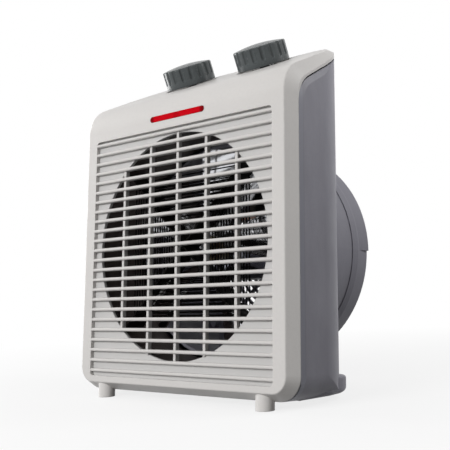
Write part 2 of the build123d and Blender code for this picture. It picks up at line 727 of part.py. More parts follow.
def knob(side):
    crown = KNOB_TOP + KNOB_DOME
    dome_r = (KNOB_R**2 + KNOB_DOME**2) / (2 * KNOB_DOME)
    solid = upright(KNOB_R, KNOB_GAP, crown) & Pos(0, 0, crown - dome_r) * Sphere(dome_r)
    rim = [e for e in solid.edges().filter_by(GeomType.CIRCLE) if abs(e.center().Z - KNOB_TOP) < 0.01]
    solid = fillet(rim, KNOB_EDGE_R)
    hollow = upright(KNOB_R - KNOB_WALL, 0, KNOB_TOP - KNOB_ROOF) - upright(KNOB_BOSS_R, 0, KNOB_TOP)
    groove = upright(FLUTE_R, KNOB_GAP + FLUTE_FOOT, KNOB_TOP + KNOB_DOME)
    groove += Pos(0, 0, KNOB_GAP + FLUTE_FOOT) * Sphere(FLUTE_R)
    groove = Pos(KNOB_R + FLUTE_R - FLUTE_DEPTH, 0, 0) * groove
    flutes = [Rot(0, 0, angle) * groove for angle in around(FLUTE_COUNT)]
    solid = solid - hollow - shaft_tip(SCREW_CLEAR / 2) - flutes
    return control_plane(side) * Rot(0, 0, KNOB_TURN[side]) * solid


def control_body(side):
    half = CONTROL_W / 2
    low = EAR_TOP - CONTROL_DEPTH
    solid = block(-half, half, -CONTROL_FRONT, CONTROL_BACK, low, EAR_TOP)
    ear = CONTROL_POST_X + CONTROL_POST_R
    solid += block(-ear, ear, -CONTROL_POST_R, CONTROL_POST_R, EAR_TOP - CONTROL_EAR_T, EAR_TOP)
    for x in (-CONTROL_POST_X, CONTROL_POST_X):
        solid -= upright(SCREW_R + SCREW_THROUGH, low, 0, x)
    for x in tab_offsets():
        half = CONTROL_TAB_W / 2
        solid += block(x - half, x + half, -TERMINAL_T, TERMINAL_T, low - CONTROL_TAB_L, low + 1)
    return control_plane(side) * (solid - upright(SHAFT_R + RUN_GAP, SHAFT_LOW - SCREW_CLEAR, 0))


def tab_offsets():
    return [-CONTROL_W / 3, 0.0, CONTROL_W / 3]


def bimetal_strip():
    half = CONTROL_W / 2
    low = EAR_TOP - CONTROL_DEPTH / 2 - STRIP_W / 2
    back = -CONTROL_FRONT - STRIP_GAP
    strip = block(-half, half, back - STRIP_T, back, low, low + STRIP_W)
    foot = block(-half, -half / 2, back - STRIP_T, -CONTROL_FRONT, low, low + STRIP_W)
    return control_plane(1) * (strip + foot)


def control_screws():
    result = []
    for side in (-1, 1):
        for x in (-CONTROL_POST_X, CONTROL_POST_X):
            place = control_plane(side) * Pos(x, 0, EAR_TOP - CONTROL_EAR_T) * Rot(180, 0, 0)
            result.append(place * screw(CONTROL_EAR_T + CONTROL_POST_L))
    return result


# Duct and element
WIRE_CORNERS = WIRE_LOOPS * 4
WIRE_FRONT_Y = BOARD_FROM + WIRE_SINK
WIRE_REAR_Y = BOARD_TO - WIRE_SINK
WIRE_STANDOFF = BOARD_T / 2 + TERMINAL_T + WIRE_D / 2


def arm_plane(angle):
    """Place of an element arm: outwards, front to back, and square to its board."""
    turn = math.radians(angle)
    outwards = (math.cos(turn), 0, math.sin(turn))
    return Plane(origin=(0, 0, AXIS_Z), x_dir=outwards, z_dir=(-math.sin(turn), 0, math.cos(turn)))


def wire_radius(corner):
    return WIRE_R_OUT - corner * WIRE_PITCH / 4


def lead_hole_y():
    return [WIRE_FRONT_Y + LEAD_R, WIRE_REAR_Y - LEAD_R]


LEAD_OFF = BOARD_T / 2 + TERMINAL_T + LEAD_R + LEAD_CLEAR


def heater_duct():
    duct = tube(DUCT_R + DUCT_T, DUCT_R, DUCT_FROM, DUCT_TO)
    for angle in around(TAB_COUNT, TAB_ANGLE):
        half = TAB_W / 2
        ear = block(DUCT_R + DUCT_T / 2, TAB_R + half, COVER_POST_END, COVER_POST_END + TAB_T, -half, half)
        duct += arm_plane(angle) * ear
    for x, z in tab_places():
        duct -= rod(SCREW_R + SCREW_THROUGH, 0, FAR, x, z)
    reach = BOARD_TAB / 2 + BOARD_SLOT_CLEAR
    half = BOARD_T / 2 + BOARD_SLOT_CLEAR
    slot = block(DUCT_R - 1, DUCT_R + DUCT_T + 1, BOARD_MID - reach, BOARD_MID + reach, -half, half)
    for angle in around(4, BOARD_ANGLE):
        duct -= arm_plane(angle) * slot
    for y in lead_hole_y():
        hole = Pos(DUCT_R, y, LEAD_OFF) * Rot(0, 90, 0) * Cylinder(LEAD_R + SCREW_THROUGH, 6)
        duct -= arm_plane(BOARD_ANGLE) * hole
    return duct


def mica_board(first_arm):
    half = DUCT_R - BOARD_GAP
    end = DUCT_R + DUCT_T + BOARD_TAB_OUT
    t = BOARD_T / 2
    board = block(-half, half, BOARD_FROM, BOARD_TO, -t, t)
    board += block(-end, end, BOARD_MID - BOARD_TAB / 2, BOARD_MID + BOARD_TAB / 2, -t, t)
    gap = t + BOARD_SLOT_CLEAR
    if first_arm == 0:
        board -= block(-gap, gap, BOARD_FROM - 1, BOARD_MID + BOARD_SLOT_CLEAR, -1, 1)
    else:
        board -= block(-gap, gap, BOARD_MID - BOARD_SLOT_CLEAR, BOARD_TO + 1, -1, 1)
    depth = WIRE_SINK + WIRE_D / 2 + SCREW_CLEAR / 2
    width = WIRE_D / 2 + NOTCH_CLEAR
    notches = []
    for corner in range(1, WIRE_CORNERS):
        if corner % 2 != first_arm:
            continue
        sign = 1 if corner % 4 < 2 else -1
        middle = sign * (wire_radius(corner) - WIRE_BEND_R * (math.sqrt(2) - 1))
        notches.append(block(middle - width, middle + width, BOARD_FROM - 1, BOARD_FROM + depth, -1, 1))
        notches.append(block(middle - width, middle + width, BOARD_TO - depth, BOARD_TO + 1, -1, 1))
    return arm_plane(BOARD_ANGLE + 90 * first_arm) * (board - notches)


def wire_path(y):
    """Square spiral from the outer terminal inwards, one corner on each arm in turn."""
    arm = arm_plane(BOARD_ANGLE)
    points = []
    for corner in range(WIRE_CORNERS + 1):
        x, z = on_ring(wire_radius(corner), BOARD_ANGLE + 90 * corner)
        points.append(Vector(x, y, z))
    points[0] += arm.z_dir * WIRE_STANDOFF
    points[-1] -= arm.z_dir * WIRE_STANDOFF
    return FilletPolyline(*points, radius=WIRE_BEND_R)


def heating_wire(y):
    path = wire_path(y)
    section = Plane(origin=path @ 0, z_dir=path % 0) * Circle(WIRE_D / 2)
    return sweep(section, path=path)


def wire_self_gap(y):
    """Least clear gap between turns of one winding, measured on points along it."""
    path = wire_path(y)
    count = WIRE_CORNERS * 16
    points = [path @ (step / count) for step in range(count + 1)]
    apart = int(4 * WIRE_PITCH / (path.length / count)) + 1
    least = FAR
    for first in range(len(points)):
        for second in range(first + apart, len(points)):
            least = min(least, (points[first] - points[second]).length)
    return least - WIRE_D


def element_terminals():
    """Four riveted plates on one arm, where the windings begin and end."""
    plates = []
    low = BOARD_T / 2
    high = low + TERMINAL_T
    inner_end = wire_radius(WIRE_CORNERS) + WIRE_D
    outer_end = wire_radius(0) + TERMINAL_L / 2
    for radius, sides in ((outer_end, (low, high)), (inner_end, (-high, -low))):
        for y0, y1 in ((BOARD_FROM, BOARD_FROM + TERMINAL_L), (BOARD_TO - TERMINAL_L, BOARD_TO)):
            plate = block(radius - TERMINAL_L, radius, y0, y1, *sides)
            plates.append(arm_plane(BOARD_ANGLE) * plate)
    return plates


def thermal_cutout():
    low = BOARD_T / 2
    base = Pos(CUTOUT_AT, BOARD_MID, low) * Cylinder(CUTOUT_R, CUTOUT_H * 0.6, align=BOTTOM_ALIGN)
    cap = Pos(CUTOUT_AT, BOARD_MID, low) * Cylinder(CUTOUT_R * 0.8, CUTOUT_H, align=BOTTOM_ALIGN)
    reach = 2 * CUTOUT_R
    half = CONTROL_TAB_W / 2
    tabs = block(-reach, reach, -half, half, low, low + TERMINAL_T)
    tabs = Pos(CUTOUT_AT, BOARD_MID, 0) * tabs
    return arm_plane(BOARD_ANGLE) * (base + cap + tabs)


def thermal_fuse():
    height = BOARD_T / 2 + FUSE_R + LEAD_CLEAR
    along = Pos(FUSE_AT, BOARD_MID, height) * Rot(0, 90, 0)
    solid = Cylinder(FUSE_R, FUSE_L) + Cylinder(FUSE_R / 4, FUSE_L * 2.4)
    return arm_plane(BOARD_ANGLE + 180) * (along * solid)


def duct_screws():
    seat = COVER_POST_END + TAB_T
    return [screw_from_rear(x, seat, z, TAB_T + SCREW_BITE - SCREW_TIP_GAP) for x, z in tab_places()]


# Fan
HUB_FLANGE_Y = FAN_PLATE_Y - HUB_FLANGE_T


def blade_section(radius, chord, pitch):
    half = chord / 2
    t = FAN_SHEET / 2
    rise = chord * BLADE_CAMBER
    front = ThreePointArc((-half, t), (0, rise + t), (half, t))
    back = ThreePointArc((half, -t), (0, rise - t), (-half, -t))
    ends = Line((half, t), (half, -t)) + Line((-half, -t), (-half, t))
    place = Plane(origin=(radius, 0, 0), x_dir=(0, 0, 1), z_dir=(1, 0, 0))
    return place * Rot(0, 0, pitch) * make_face(front + back + ends)


def fan_blade():
    root = blade_section(BLADE_ROOT_R, BLADE_ROOT_CHORD, BLADE_ROOT_PITCH)
    tip = blade_section(FAN_R + 2, BLADE_TIP_CHORD, BLADE_TIP_PITCH)
    sheet = loft([root, tip], ruled=True)
    wide = BLADE_TIP_CHORD * math.cos(math.radians(BLADE_TIP_PITCH)) / 2 + FAN_SHEET
    root_r = BLADE_ROOT_R - 1
    outline = make_face(Polyline((root_r, -wide), (FAN_R, -wide), (FAN_R, wide), (root_r, wide), close=True))
    corners = [v for v in outline.vertices() if v.X > FAN_R - 1]
    outline = fillet(corners, wide * 0.6)
    trim = extrude(Plane.XZ * outline, amount=FAR / 4, both=True)
    return sheet & trim


def fan_impeller():
    middle = FAN_PLATE_Y + FAN_SHEET / 2
    fan = rod(FAN_PLATE_R, FAN_PLATE_Y, FAN_PLATE_Y + FAN_SHEET)
    blade = fan_blade()
    fan += [Pos(0, middle, AXIS_Z) * Rot(0, angle, 0) * blade for angle in around(FAN_BLADES)]
    return (fan & rod(FAN_R, 0, FAR)) - rod(HUB_R + PRESS_GAP, 0, FAR)


def fan_hub():
    hub = rod(HUB_R, HUB_FROM, HUB_TO) + rod(HUB_FLANGE_R, HUB_FLANGE_Y, FAN_PLATE_Y)
    return hub - rod(AXLE_R + PRESS_GAP, 0, FAR)


def fan_clip():
    return tube(CLIP_R, AXLE_R + PRESS_GAP, HUB_FROM - CLIP_T - LEAD_CLEAR, HUB_FROM - LEAD_CLEAR)


# Motor
def motor_screw_holes():
    return [rod(MOTOR_SCREW_R + SCREW_CLEAR, 0, FAR, side * MOTOR_SCREW_X) for side in (-1, 1)]


def motor_mount():
    half = MOUNT_W / 2
    bar = block(-MOUNT_HALF, MOUNT_HALF, MOUNT_Y, MOUNT_Y + MOUNT_T, AXIS_Z - half, AXIS_Z + half)
    bar &= rod(MOUNT_HALF, 0, FAR)
    holes = motor_screw_holes() + [rod(BUSH_R, 0, FAR)]
    holes += [rod(SCREW_R + SCREW_THROUGH, 0, FAR, side * MOUNT_SCREW_X) for side in (-1, 1)]
    return bar - holes


def mount_screws():
    return [screw_from_front(side * MOUNT_SCREW_X, MOUNT_Y, AXIS_Z, MOUNT_T + SCREW_BITE) for side in (-1, 1)]


def bearing_bracket(plate_y, boss_y, leg_y):
    reach = MOTOR_SCREW_X + BRACKET_LEG_R
    half = BRACKET_W / 2
    solid = block(-reach, reach, plate_y, plate_y + BRACKET_T, AXIS_Z - half, AXIS_Z + half)
    solid += rod(BRACKET_BOSS_R, boss_y, boss_y + BUSH_L)
    solid += [rod(BRACKET_LEG_R, leg_y, leg_y + BRACKET_LEG, side * MOTOR_SCREW_X) for side in (-1, 1)]
    return solid - motor_screw_holes() - rod(BUSH_R + PRESS_GAP, 0, FAR)


def front_bearing_bracket():
    return bearing_bracket(FRONT_BRACKET_Y, FRONT_BRACKET_Y, FRONT_BRACKET_Y + BRACKET_T)


def rear_bearing_bracket():
    return bearing_bracket(REAR_BRACKET_END - BRACKET_T, REAR_BRACKET_END - BUSH_L, STATOR_END)


def bush(y):
    return tube(BUSH_R, AXLE_R + RUN_GAP, y, y + BUSH_L)


def motor_stator():
    half = STATOR_W / 2
    window = STATOR_WINDOW_W / 2
    core = block(-half, half, STATOR_Y, STATOR_END, AXIS_Z - STATOR_LOW, LIMB_HIGH)
    core -= block(-window, window, 0, FAR, AXIS_Z + STATOR_WINDOW_LOW, LIMB_LOW)
    return core - rod(ROTOR_R + AIR_GAP, 0, FAR) - motor_screw_holes()


def limb_sleeve(half_length, inner, outer):
    """Square sleeve round the stator limb, from one clearance to another."""
    def sized(half, grow):
        return block(-half, half, STATOR_Y - grow, STATOR_END + grow, LIMB_LOW - grow, LIMB_HIGH + grow)

    return sized(half_length, outer) - sized(FAR, inner)


def motor_bobbin():
    wall = BOBBIN_CLEAR + BOBBIN_WALL
    rim = wall + WINDING_T + BOBBIN_FLANGE
    bobbin = limb_sleeve(BOBBIN_L / 2, BOBBIN_CLEAR, wall)
    middle = (BOBBIN_L - BOBBIN_FLANGE) / 2
    flange = limb_sleeve(BOBBIN_FLANGE / 2, BOBBIN_CLEAR, rim)
    return bobbin + [Pos(side * middle, 0, 0) * flange for side in (-1, 1)]


def motor_winding():
    wall = BOBBIN_CLEAR + BOBBIN_WALL
    coil = limb_sleeve(BOBBIN_L / 2 - BOBBIN_FLANGE, wall, wall + WINDING_T)
    corners = coil.edges().filter_by(Axis.X).sort_by_distance(coil.center())[-4:]
    return fillet(corners, WINDING_T * 0.7)


def motor_rotor():
    core = rod(ROTOR_R, STATOR_Y, STATOR_END)
    core += rod(ROTOR_RING_R, STATOR_Y - ROTOR_RING_L, STATOR_END + ROTOR_RING_L)
    return core - rod(AXLE_R + PRESS_GAP, 0, FAR)


def motor_shaft():
    return rod(AXLE_R, AXLE_FROM, AXLE_TO)


def motor_screws():
    length = REAR_BRACKET_END - MOUNT_Y
    long_screw = screw(length, MOTOR_SCREW_R, MOTOR_SCREW_R * 1.9)
    seats = [Pos(side * MOTOR_SCREW_X, REAR_BRACKET_END, AXIS_Z) for side in (-1, 1)]
    return [seat * Rot(-90, 0, 0) * long_screw for seat in seats]


# Outer screws, cord inlet and wiring
def housing_screws():
    length = WELL_DEPTH + SCREW_BITE - SCREW_TIP_GAP
    return [screw_from_rear(x, WELL_FLOOR, z, length) for x, z in well_places()]


def grille_screws():
    seat = GRILLE_TO - SCREW_HEAD_H
    return [screw_from_rear(x, seat, z, seat - DRUM_TO + SCREW_BITE) for x, z in grille_places()]


SLOPING_FLOOR = (BLOCK_Y + BLOCK_W / 2 - FOOT_Y) * math.tan(math.radians(LEAN))
INNER_FLOOR = SLOPING_FLOOR + (BASE_CLEAR + HOUSING_WALL) / math.cos(math.radians(LEAN)) - FOOT_DROP
BLOCK_Z = max(HOUSING_WALL, INNER_FLOOR) + LEAD_CLEAR
GLAND_INNER = BODY_REAR - HOUSING_WALL


def cord_gland():
    flange = rod(GLAND_FLANGE_R, BODY_REAR, BODY_REAR + GLAND_FLANGE_T, GLAND_X, GLAND_Z)
    stem_from = GLAND_INNER - GLAND_NUT_T - GLAND_TAIL
    stem = rod(GLAND_R, stem_from, BODY_REAR + GLAND_FLANGE_T, GLAND_X, GLAND_Z)
    rim = flange.edges().filter_by(GeomType.CIRCLE).sort_by(Axis.Y)[-1]
    return fillet(rim, GLAND_FLANGE_T * 0.4) + stem - rod(GLAND_BORE_R, 0, FAR, GLAND_X, GLAND_Z)


def gland_nut():
    place = Plane(origin=(GLAND_X, GLAND_INNER - GLAND_NUT_T, GLAND_Z), x_dir=(1, 0, 0), z_dir=(0, 1, 0))
    outline = RegularPolygon(GLAND_NUT_R, 6) - Circle(GLAND_R + SCREW_CLEAR / 2)
    return extrude(place * outline, amount=GLAND_NUT_T)


def terminal_block():
    x0 = BLOCK_X - BLOCK_L / 2
    y0 = BLOCK_Y - BLOCK_W / 2
    solid = block(x0, x0 + BLOCK_L, y0, y0 + BLOCK_W, BLOCK_Z, BLOCK_Z + BLOCK_H)
    for step in range(3):
        x = x0 + BLOCK_L * (step + 0.5) / 3
        solid -= rod(LEAD_R * 1.6, 0, FAR, x, BLOCK_Z + BLOCK_H / 3)
        solid -= Pos(x, BLOCK_Y, BLOCK_Z + BLOCK_H / 2) * Cylinder(LEAD_R * 1.8, BLOCK_H, align=BOTTOM_ALIGN)
    return solid


def lead(points):
    """Insulated wire along straight runs joined by bends as large as the runs allow."""
    places = [Vector(*point) for point in points]
    radii = []
    for before, here, after in zip(places, places[1:], places[2:]):
        turn = (here - before).get_angle(after - here)
        run = min((here - before).length, (after - here).length)
        radii.append(min(LEAD_BEND_R, 0.45 * run / math.tan(math.radians(turn / 2))))
    path = FilletPolyline(*places, radius=radii)
    section = Plane(origin=path @ 0, z_dir=path % 0) * Circle(LEAD_R)
    return sweep(section, path=path)


def control_tab_point(side, tab, below):
    """Place under a control's terminal, on the knob's own axis direction."""
    low = EAR_TOP - CONTROL_DEPTH - CONTROL_TAB_L - below
    place = control_plane(side)
    return tuple(place.from_local_coords(Vector(tab_offsets()[tab], 0, low)))


def element_point(y, out):
    """Place beside the arm that carries the terminals."""
    return tuple(arm_plane(BOARD_ANGLE).from_local_coords(Vector(out, y, LEAD_OFF)))


TERMINAL_END = WIRE_R_OUT + TERMINAL_L / 2 - 1
OUTSIDE_DUCT = DUCT_R + 12.0
OVER_DUCT = AXIS_Z + DUCT_R + 5.5
SIDE_RUN = -(DUCT_R + DUCT_T + BODY_WIDTH / 2 - HOUSING_WALL) / 2
INSIDE_WELLS = -(WELL_X - WELL_R - WELL_WALL - 3.4)


def heat_lead_front():
    y = lead_hole_y()[0]
    return lead([
        element_point(y, TERMINAL_END),
        element_point(y, OUTSIDE_DUCT),
        (70.0, 24.0, OVER_DUCT),
        (60.0, 52.0, OVER_DUCT + 7.0),
        control_tab_point(1, 2, 16.0),
        control_tab_point(1, 2, LEAD_CLEAR),
    ])


def heat_lead_rear():
    y = lead_hole_y()[1]
    return lead([
        element_point(y, TERMINAL_END),
        element_point(y, OUTSIDE_DUCT),
        (56.0, 34.0, OVER_DUCT),
        (20.0, 48.0, OVER_DUCT + 5.0),
        (-18.0, 60.0, OVER_DUCT + 9.0),
        control_tab_point(-1, 1, 14.0),
        control_tab_point(-1, 1, LEAD_CLEAR),
    ])


def link_lead():
    low = control_tab_point(1, 0, 13.0)
    return lead([
        control_tab_point(-1, 2, LEAD_CLEAR),
        control_tab_point(-1, 2, 9.0),
        (-KNOB_X / 2, low[1], low[2]),
        (KNOB_X / 2, low[1], low[2]),
        control_tab_point(1, 0, 9.0),
        control_tab_point(1, 0, LEAD_CLEAR),
    ])


def supply_lead():
    start = BLOCK_X - BLOCK_L / 3
    top = BLOCK_Z + BLOCK_H
    return lead([
        (start, BLOCK_Y, top - BLOCK_H / 4),
        (start, BLOCK_Y, top + 10.0),
        (INSIDE_WELLS, BLOCK_Y, AXIS_Z - WELL_BELOW),
        (SIDE_RUN, BLOCK_Y + 2.0, AXIS_Z - WELL_BELOW / 3),
        (SIDE_RUN, BLOCK_Y + 6.0, AXIS_Z + WELL_ABOVE / 3),
        (INSIDE_WELLS, BLOCK_Y + 10.0, AXIS_Z + WELL_ABOVE),
        (-70.0, 60.0, OVER_DUCT + 5.0),
        control_tab_point(-1, 0, 12.0),
        control_tab_point(-1, 0, LEAD_CLEAR),
    ])


NODES = {
    "front_cover": front_cover,
    "rear_housing": rear_housing,
    "rear_grille": rear_grille,
    "front_foot_left": lambda: front_foot(-1),
    "front_foot_right": lambda: front_foot(1),
    "indicator_lens": indicator_lens,
    "lamp_holder": lamp_holder,
    "neon_lamp": neon_lamp,
    "selector_knob": lambda: knob(-1),
    "selector_shaft": lambda: control_shaft(-1),
    "selector_body": lambda: control_body(-1),
    "thermostat_knob": lambda: knob(1),
    "thermostat_shaft": lambda: control_shaft(1),
    "thermostat_body": lambda: control_body(1),
    "bimetal_strip": bimetal_strip,
    "control_screws": control_screws,
    "heater_duct": heater_duct,
    "mica_board_a": lambda: mica_board(0),
    "mica_board_b": lambda: mica_board(1),
    "heating_wire_front": lambda: heating_wire(WIRE_FRONT_Y),
    "heating_wire_rear": lambda: heating_wire(WIRE_REAR_Y),
    "element_terminals": element_terminals,
    "thermal_cutout": thermal_cutout,
    "thermal_fuse": thermal_fuse,
    "duct_screws": duct_screws,
    "fan_impeller": fan_impeller,
    "fan_hub": fan_hub,
    "fan_clip": fan_clip,
    "motor_shaft": motor_shaft,
    "motor_rotor": motor_rotor,
    "motor_stator": motor_stator,
    "motor_bobbin": motor_bobbin,
    "motor_winding": motor_winding,
    "front_bearing_bracket": front_bearing_bracket,
    "rear_bearing_bracket": rear_bearing_bracket,
    "front_bush": lambda: bush(FRONT_BRACKET_Y),
    "rear_bush": lambda: bush(REAR_BRACKET_END - BUSH_L),
    "motor_mount": motor_mount,
    "mount_screws": mount_screws,
    "motor_screws": motor_screws,
    "housing_screws": housing_screws,
    "grille_screws": grille_screws,
    "cord_gland": cord_gland,
    "gland_nut": gland_nut,
    "terminal_block": terminal_block,
    "heat_lead_front": heat_lead_front,
    "heat_lead_rear": heat_lead_rear,
    "link_lead": link_lead,
    "supply_lead": supply_lead,
}


# Leaned back on its feet, with the origin on the floor under the middle of the whole heater
def pieces(made):
    return made if isinstance(made, list) else [made]


groups = {name: pieces(make()) for name, make in NODES.items()}
lean = Rot(-LEAN, 0, 0) * Pos(0, -FOOT_Y, FOOT_DROP)
boxes = [(lean * piece).bounding_box() for group in groups.values() for piece in group]
middle_y = (min(box.min.Y for box in boxes) + max(box.max.Y for box in boxes)) / 2
settle = Pos(0, -middle_y, 0) * lean

os.makedirs("parts", exist_ok=True)
for name, group in groups.items():
    solids = [solid for piece in group for solid in (settle * piece).solids()]
    export_step(Compound(solids) if len(solids) > 1 else solids[0], os.path.join("parts", name + ".step"))

print("lean", round(LEAN, 4))
fan_place = Plane(origin=(0, 0, AXIS_Z), z_dir=(0, 1, 0))
for name, place in (("fan", fan_place), ("selector", control_plane(-1)), ("thermostat", control_plane(1))):
    moved = Plane(settle * place.location)
    point = tuple(round(value, 4) for value in moved.origin)
    along = tuple(round(value, 6) for value in moved.z_dir)
    print(name, "axis through", point, "along", along)
print("least gap between turns", round(wire_self_gap(WIRE_FRONT_Y), 3))
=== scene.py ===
import json
import math

import bpy
from mathutils import Matrix, Vector

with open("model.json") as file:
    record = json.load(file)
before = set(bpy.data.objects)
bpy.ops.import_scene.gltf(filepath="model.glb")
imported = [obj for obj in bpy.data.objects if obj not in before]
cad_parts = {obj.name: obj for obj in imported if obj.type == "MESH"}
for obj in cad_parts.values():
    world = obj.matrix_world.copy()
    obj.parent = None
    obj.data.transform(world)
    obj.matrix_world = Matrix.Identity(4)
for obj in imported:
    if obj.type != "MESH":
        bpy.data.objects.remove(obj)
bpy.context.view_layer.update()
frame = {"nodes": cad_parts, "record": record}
nodes = frame["nodes"]

# How the heater stands, leaned back about its front feet
LEAN = math.radians(4.4371)
STAND_Y = -0.0661107
FOOT_Y = 0.0076
FOOT_DROP = 0.0058
BACK_AXIS = Vector((0.0, math.cos(LEAN), -math.sin(LEAN)))
UP_AXIS = Vector((0.0, math.sin(LEAN), math.cos(LEAN)))


def on_front(height):
    """Place in the middle of the front, at a height in metres above the underside, as the heater stands."""
    return Vector((0.0, STAND_Y, 0.0)) - BACK_AXIS * FOOT_Y + UP_AXIS * (height + FOOT_DROP)


# Outlet, and the recess that the slats lie in
OUTLET_CENTRE = on_front(height=0.1101)
RECESS_CENTRE = on_front(height=0.10605)
RECESS_HALF_W = 0.0929
RECESS_HALF_H = 0.09575
RECESS_DEPTH = 0.0031
SLAT_NOSE = 0.0008

# Lip of the housing beside its seam, where a highlight is painted, measured back from the front
SEAM_BACK = 0.0097
LIP_WIDTH = 0.0046
LIP_FADE = 1.3

# Knobs on the sloping top, with their foot and crown as ranges of height along their axis
TOP_SLOPE = math.radians(26.3)
KNOB_AXIS = BACK_AXIS * -math.sin(TOP_SLOPE) + UP_AXIS * math.cos(TOP_SLOPE)
KNOB_CENTRES = {
    "selector_knob": Vector((-0.0398, 0.0050833, 0.2569736)),
    "thermostat_knob": Vector((0.0398, 0.0050833, 0.2569736)),
}
KNOB_FOOT = (0.0015, 0.0045)
KNOB_CROWN = (0.0152, 0.0160)
KNOB_RING_PITCH = 0.0011

# Dark ends and dark middle of the lens, as ranges of distance from its middle
LENS_ENDS = (0.0235, 0.0262)
LENS_MIDDLE = (0.0020, 0.0042)

# Pitch of the motor's steel sheets and of the turns of its winding
SHEET_PITCH = 0.0010
TURN_PITCH = 0.0006

# Main colours
WHITE = (0.66, 0.640, 0.622)
# Colour of the painted shade on the plate behind the slats
PLATE_PAINTED_SHADE = (0.550, 0.541, 0.533)
GREY = (0.285, 0.280, 0.322)
# Colour of the painted highlight on the lip of the housing
LIP_PAINTED_HIGHLIGHT = (0.36, 0.362, 0.420)
KNOB_GREY = (0.074, 0.083, 0.085)

# Range that a noise or a wave is stretched from
NOISE_RANGE = (0.3, 0.7)
WAVE_RANGE = (-1.0, 1.0)

# Specks in moulded plastic
SPECK_RANGE = (0.45, 0.75)
SPECK_SHARE = 0.25
SPECK_TONE = 0.9


def tone(colour, factor):
    return tuple(channel * factor for channel in colour)


# Materials
class Shade:
    """One procedural material, with short calls for the nodes it uses."""

    def __init__(self, name):
        self.material = bpy.data.materials.new(name)
        self.material.use_nodes = True
        self.tree = self.material.node_tree
        self.tree.nodes.clear()
        self.out = self.add("ShaderNodeOutputMaterial")
        self.bsdf = self.add("ShaderNodeBsdfPrincipled")
        self.link(self.bsdf.outputs[0], self.out.inputs["Surface"])
        self.where = self.add("ShaderNodeTexCoord").outputs["Object"]

    def add(self, kind, **settings):
        node = self.tree.nodes.new(kind)
        for key, value in settings.items():
            setattr(node, key, value)
        return node

    def link(self, source, target):
        self.tree.links.new(source, target)

    def give(self, socket, value):
        """Sets a socket to a number, a colour or another node's output."""
        if isinstance(value, bpy.types.NodeSocket):
            self.link(value, socket)
        else:
            socket.default_value = value

    def math(self, operation, first, second=0.0):
        node = self.add("ShaderNodeMath", operation=operation)
        self.give(node.inputs[0], first)
        self.give(node.inputs[1], second)
        return node.outputs[0]

    def vector(self, operation, first, second=(0.0, 0.0, 0.0), out=0):
        node = self.add("ShaderNodeVectorMath", operation=operation)
        self.give(node.inputs[0], first)
        self.give(node.inputs[1], second)
        return node.outputs[out]

    def noise(self, scale, detail=2.0, rough=0.5, stretch=None):
        place = self.where
        if stretch:
            place = self.vector("MULTIPLY", place, stretch)
        node = self.add("ShaderNodeTexNoise")
        self.link(place, node.inputs["Vector"])
        node.inputs["Scale"].default_value = scale
        node.inputs["Detail"].default_value = detail
        node.inputs["Roughness"].default_value = rough
        return node.outputs["Fac"]

    def marks(self, place, per_metre, detail):
        """Fine lines side by side along one measure."""
        node = self.add("ShaderNodeTexNoise", noise_dimensions="1D")
        self.give(node.inputs["W"], self.math("MULTIPLY", place, per_metre))
        node.inputs["Scale"].default_value = 1.0
        node.inputs["Detail"].default_value = detail
        return node.outputs["Fac"]

    def wave(self, place, pitch):
        """Even wave between minus one and one along one measure."""
        return self.math("SINE", self.math("MULTIPLY", place, 2 * math.pi / pitch))

    def span(self, value, source, result=(0.0, 1.0)):
        """Takes one range to another and holds the value at both ends."""
        node = self.add("ShaderNodeMapRange", clamp=True)
        self.give(node.inputs["Value"], value)
        for key, number in zip(("From Min", "From Max", "To Min", "To Max"), (*source, *result)):
            node.inputs[key].default_value = number
        return node.outputs["Result"]

    def vary(self, noise, low=0.0, high=1.0):
        """Takes a noise to a range of its own."""
        return self.span(noise, NOISE_RANGE, (low, high))

    def mix(self, factor, first, second):
        node = self.add("ShaderNodeMix", data_type="RGBA")
        self.give(node.inputs["Factor"], factor)
        for socket, value in ((node.inputs[6], first), (node.inputs[7], second)):
            self.give(socket, value if isinstance(value, bpy.types.NodeSocket) else (*value, 1.0))
        return node.outputs[2]

    def specks(self, base, colour, scale):
        """Adds fine darker specks to a colour."""
        cover = self.span(self.noise(scale), SPECK_RANGE, (0.0, SPECK_SHARE))
        return self.mix(cover, base, tone(colour, SPECK_TONE))

    def bump(self, height, distance, strength, normal=None):
        node = self.add("ShaderNodeBump")
        node.inputs["Strength"].default_value = strength
        node.inputs["Distance"].default_value = distance
        self.link(height, node.inputs["Height"])
        if normal is not None:
            self.link(normal, node.inputs["Normal"])
        return node.outputs["Normal"]

    def soft_edge(self, radius):
        node = self.add("ShaderNodeBevel", samples=4)
        node.inputs["Radius"].default_value = radius
        return node.outputs["Normal"]

    def across(self):
        """Place from left to right, with zero in the middle."""
        node = self.add("ShaderNodeSeparateXYZ")
        self.link(self.where, node.inputs[0])
        return node.outputs[0]

    def along(self, centre, axis):
        """Distance along an axis from a point."""
        away = self.vector("SUBTRACT", self.where, tuple(centre))
        return self.vector("DOT_PRODUCT", away, tuple(axis), out=1)

    def ring_distance(self, centre, axis):
        """Distance from an axis line through a point."""
        away = self.vector("SUBTRACT", self.where, tuple(centre))
        return self.vector("LENGTH", self.vector("CROSS_PRODUCT", away, tuple(axis)), out=1)

    def shine(self, level):
        self.bsdf.inputs["Specular IOR Level"].default_value = level

    def finish(self, colour, rough, metal=0.0, normal=None):
        plain = not isinstance(colour, bpy.types.NodeSocket)
        self.give(self.bsdf.inputs["Base Color"], (*colour, 1.0) if plain else colour)
        self.give(self.bsdf.inputs["Roughness"], rough)
        self.bsdf.inputs["Metallic"].default_value = metal
        if normal is not None:
            self.link(normal, self.bsdf.inputs["Normal"])
        return self.material


